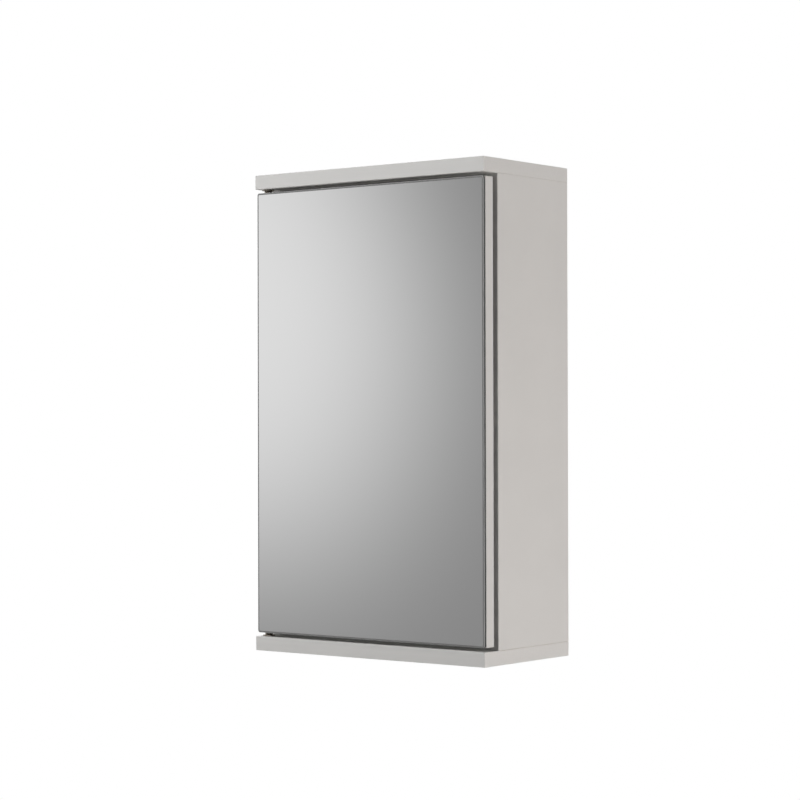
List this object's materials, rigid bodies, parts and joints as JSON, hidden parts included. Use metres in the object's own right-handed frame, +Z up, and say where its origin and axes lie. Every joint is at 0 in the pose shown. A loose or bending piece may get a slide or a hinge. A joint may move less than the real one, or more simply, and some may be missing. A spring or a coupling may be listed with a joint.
{
  "type": "mirror cabinet",
  "caption": "Narrow wall-hung cabinet box with a full-height mirror door on pivot pins between projecting top and bottom panels, glass shelves inside and a hanging rail behind.",
  "frame": {"origin": "on the wall plane, midway between the two wall-screw holes of the hanging rail", "axes": "+Z up, +Y into the wall, so the mirror faces -Y; +X to the right seen from the front"},
  "size_m": [0.3, 0.149, 0.506],
  "materials": {
    "melamine_board": "white melamine-faced chipboard, fine pearl texture, raw at the rear edges",
    "abs_edging": "white ABS edge band, satin",
    "hardboard": "hardboard, white lacquer inside, bare brown behind",
    "beech": "fluted beech dowel",
    "shelf_glass": "clear float glass with ground edges",
    "nickel_steel": "nickel-plated pressed steel",
    "clear_pvc": "clear soft PVC pad",
    "turned_steel": "turned bright steel",
    "catch_plastic": "white moulded ABS",
    "ferrite": "sintered ferrite",
    "zinc_steel": "zinc-plated steel",
    "mirror": "silvered float glass with a ground edge",
    "foam_tape": "double-sided tape",
    "nylon": "natural nylon"
  },
  "bodies": {
    "carcass": {"top_panel": "melamine_board", "top_panel_edging": "abs_edging", "bottom_panel": "melamine_board", "bottom_panel_edging": "abs_edging", "left_side_panel": "melamine_board", "left_side_edging": "abs_edging", "right_side_panel": "melamine_board", "right_side_edging": "abs_edging", "back_panel": "hardboard", "hanging_rail": "melamine_board", "rail_dowels": "beech", "corner_dowels": "beech", "upper_shelf": "shelf_glass", "lower_shelf": "shelf_glass", "shelf_supports": "nickel_steel", "shelf_pads": "clear_pvc", "pivot_pins": "turned_steel", "catch_housing": "catch_plastic", "catch_magnet": "ferrite", "catch_poles": "zinc_steel", "catch_screws": "zinc_steel"},
    "door": {"door_board": "melamine_board", "door_edging": "abs_edging", "mirror_glass": "mirror", "mirror_tape": "foam_tape", "pivot_bushes": "nylon", "strike_plate": "zinc_steel", "strike_screw": "zinc_steel"}
  },
  "joints": [
    {"name": "door_swing", "type": "hinge", "parent": "carcass", "child": "door", "pos_m": [-0.1415, -0.1374, -0.208], "axis": [0, 0, -1], "range_deg": [0, 180]}
  ]
}
